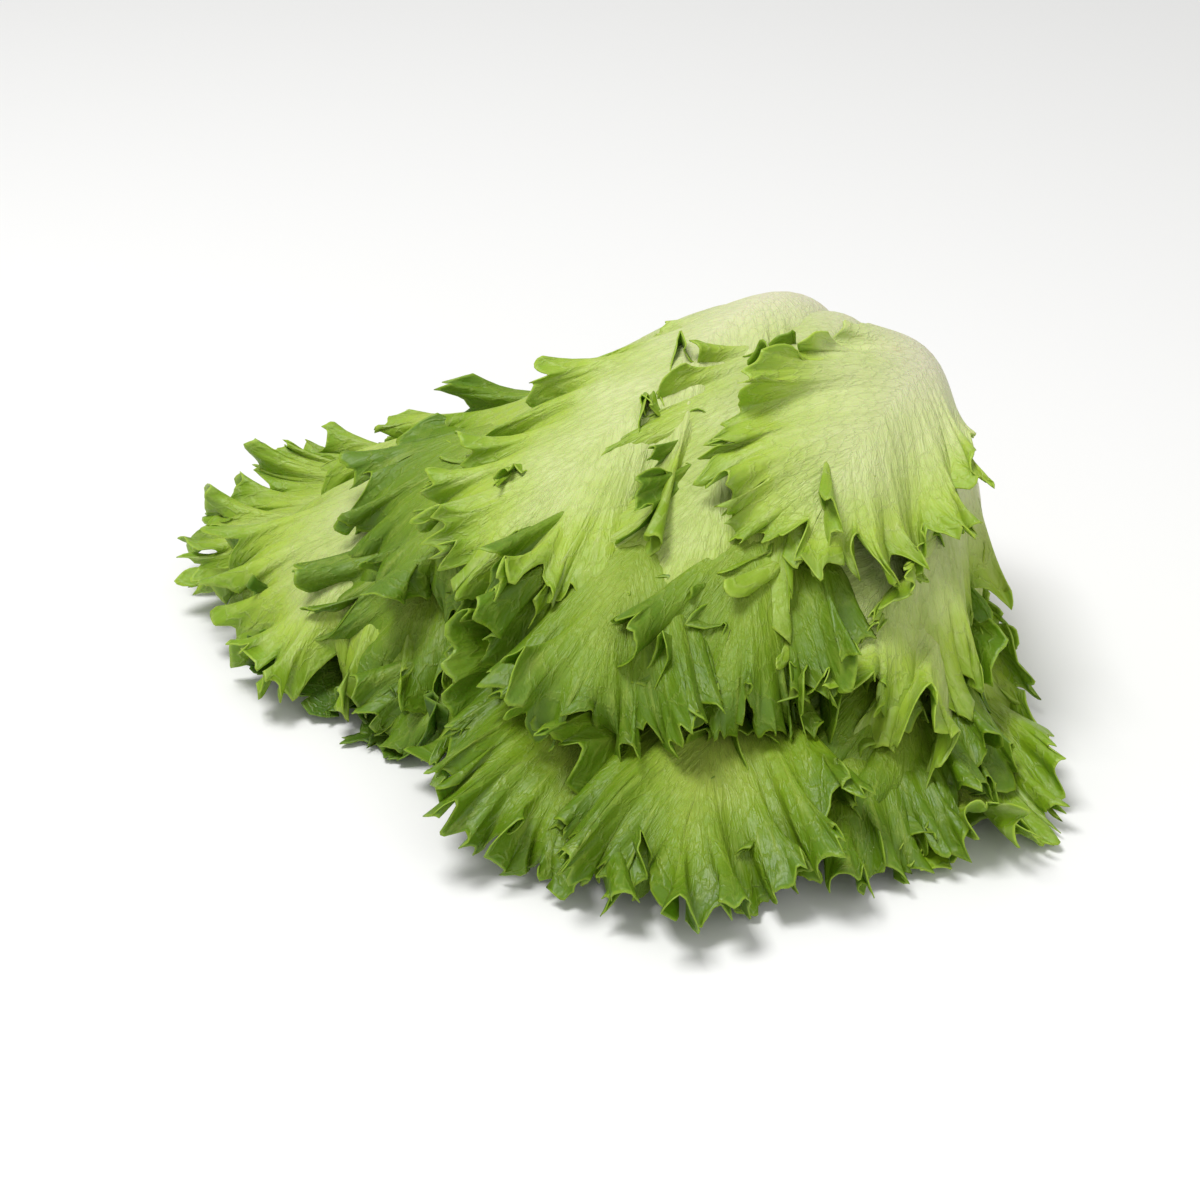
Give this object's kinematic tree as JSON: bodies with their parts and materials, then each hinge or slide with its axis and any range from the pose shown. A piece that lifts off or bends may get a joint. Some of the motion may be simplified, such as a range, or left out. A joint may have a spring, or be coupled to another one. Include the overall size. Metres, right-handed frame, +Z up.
{
  "type": "frill lettuce",
  "caption": "Cut head of frilly leaf lettuce lying on its side, with thick pale ribs at the stem and toothed green leaves fanning out.",
  "frame": {"origin": "on the resting surface, under the middle of the head's bounding box", "axes": "+Z up; +X to the right of the head as seen from its leaf tips; +Y towards the cut stem"},
  "size_m": [0.2502, 0.2212, 0.1059],
  "materials": {
    "stem": null,
    "outer_leaf": "satin leaf, cream thick rib to pale green blade, yellow-green frilled edge",
    "under_leaf": "satin leaf, dark green blade with paler veins",
    "middle_leaf": "satin leaf, mid green blade with fine fanned veins and a bright frilled edge",
    "heart_leaf": "satin young leaf, yellow-green"
  },
  "bodies": {
    "root": {"heart_leaf_left": "heart_leaf", "heart_leaf_right": "heart_leaf", "heart_leaf_top": "heart_leaf", "middle_leaf_centre": "middle_leaf", "middle_leaf_front": "middle_leaf", "middle_leaf_front_high": "middle_leaf", "middle_leaf_front_inner": "middle_leaf", "middle_leaf_front_left": "middle_leaf", "middle_leaf_front_right": "middle_leaf", "middle_leaf_left": "middle_leaf", "middle_leaf_left_high": "middle_leaf", "middle_leaf_left_low": "middle_leaf", "middle_leaf_right_low": "middle_leaf", "outer_leaf_back_left": "outer_leaf", "outer_leaf_left": "outer_leaf", "outer_leaf_right": "outer_leaf", "outer_leaf_right_edge": "outer_leaf", "outer_leaf_right_low": "outer_leaf", "outer_leaf_right_upper": "outer_leaf", "outer_leaf_top": "outer_leaf", "outer_leaf_top_left": "outer_leaf", "outer_leaf_top_right": "outer_leaf", "stem_core": "stem", "under_leaf_front": "under_leaf", "under_leaf_front_left": "under_leaf", "under_leaf_left": "under_leaf", "under_leaf_right": "under_leaf"}
  },
  "joints": []
}
